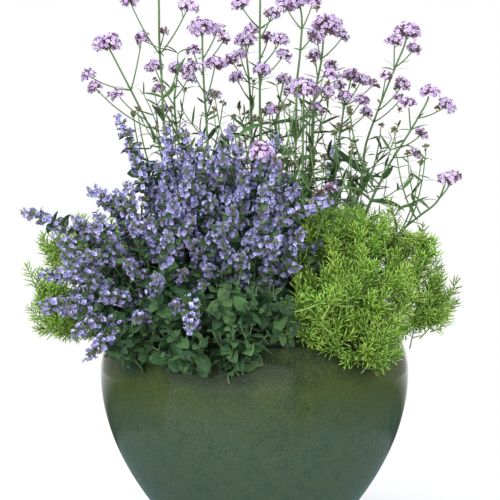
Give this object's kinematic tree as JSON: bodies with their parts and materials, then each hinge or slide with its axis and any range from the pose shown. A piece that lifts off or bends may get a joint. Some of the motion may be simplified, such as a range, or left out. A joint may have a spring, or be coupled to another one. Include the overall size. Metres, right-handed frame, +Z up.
{
  "type": "potted verbena",
  "caption": "Round-bellied glazed pot planted with tall branching verbena above mounds of lavender-blue catmint and trailing lime-green stonecrop.",
  "frame": {"origin": "centre of the pot's underside, on the surface that the pot stands on", "axes": "+Z up along the pot's axis, -Y towards the front of the planting, +X to the right as seen from the front"},
  "size_m": [0.6227, 0.5442, 0.8944],
  "materials": {
    "pot_glaze": "gloss",
    "potting_soil": "matte",
    "verbena_green": "matte",
    "verbena_flower": "matte",
    "catmint_leaf": "matte",
    "catmint_flower": "matte",
    "stonecrop_leaf": "satin"
  },
  "bodies": {
    "root": {"glazed_pot": "pot_glaze", "potting_soil": "potting_soil", "verbena_stem_01": "verbena_green", "verbena_stem_02": "verbena_green", "verbena_stem_03": "verbena_green", "verbena_stem_04": "verbena_green", "verbena_stem_05": "verbena_green", "verbena_stem_06": "verbena_green", "verbena_stem_07": "verbena_green", "verbena_stem_08": "verbena_green", "verbena_stem_09": "verbena_green", "verbena_stem_10": "verbena_green", "verbena_stem_11": "verbena_green", "verbena_stem_12": "verbena_green", "verbena_stem_13": "verbena_green", "verbena_stem_14": "verbena_green", "verbena_stem_15": "verbena_green", "verbena_stem_16": "verbena_green", "verbena_flowers_01": "verbena_flower", "verbena_flowers_02": "verbena_flower", "verbena_flowers_03": "verbena_flower", "verbena_flowers_04": "verbena_flower", "verbena_flowers_05": "verbena_flower", "verbena_flowers_06": "verbena_flower", "verbena_flowers_07": "verbena_flower", "verbena_flowers_08": "verbena_flower", "verbena_flowers_09": "verbena_flower", "verbena_flowers_10": "verbena_flower", "verbena_flowers_11": "verbena_flower", "verbena_flowers_12": "verbena_flower", "verbena_flowers_13": "verbena_flower", "verbena_flowers_14": "verbena_flower", "verbena_flowers_15": "verbena_flower", "verbena_flowers_16": "verbena_flower", "catmint_leaves_front": "catmint_leaf", "catmint_leaves_back": "catmint_leaf", "catmint_spike_01": "catmint_flower", "catmint_spike_02": "catmint_flower", "catmint_spike_03": "catmint_flower", "catmint_spike_04": "catmint_flower", "catmint_spike_05": "catmint_flower", "catmint_spike_06": "catmint_flower", "catmint_spike_07": "catmint_flower", "catmint_spike_08": "catmint_flower", "catmint_spike_09": "catmint_flower", "catmint_spike_10": "catmint_flower", "catmint_spike_11": "catmint_flower", "catmint_spike_12": "catmint_flower", "catmint_spike_13": "catmint_flower", "catmint_spike_14": "catmint_flower", "catmint_spike_15": "catmint_flower", "catmint_spike_16": "catmint_flower", "catmint_spike_17": "catmint_flower", "catmint_spike_18": "catmint_flower", "catmint_spike_19": "catmint_flower", "stonecrop_right": "stonecrop_leaf", "stonecrop_left": "stonecrop_leaf", "stonecrop_back": "stonecrop_leaf"}
  },
  "joints": []
}
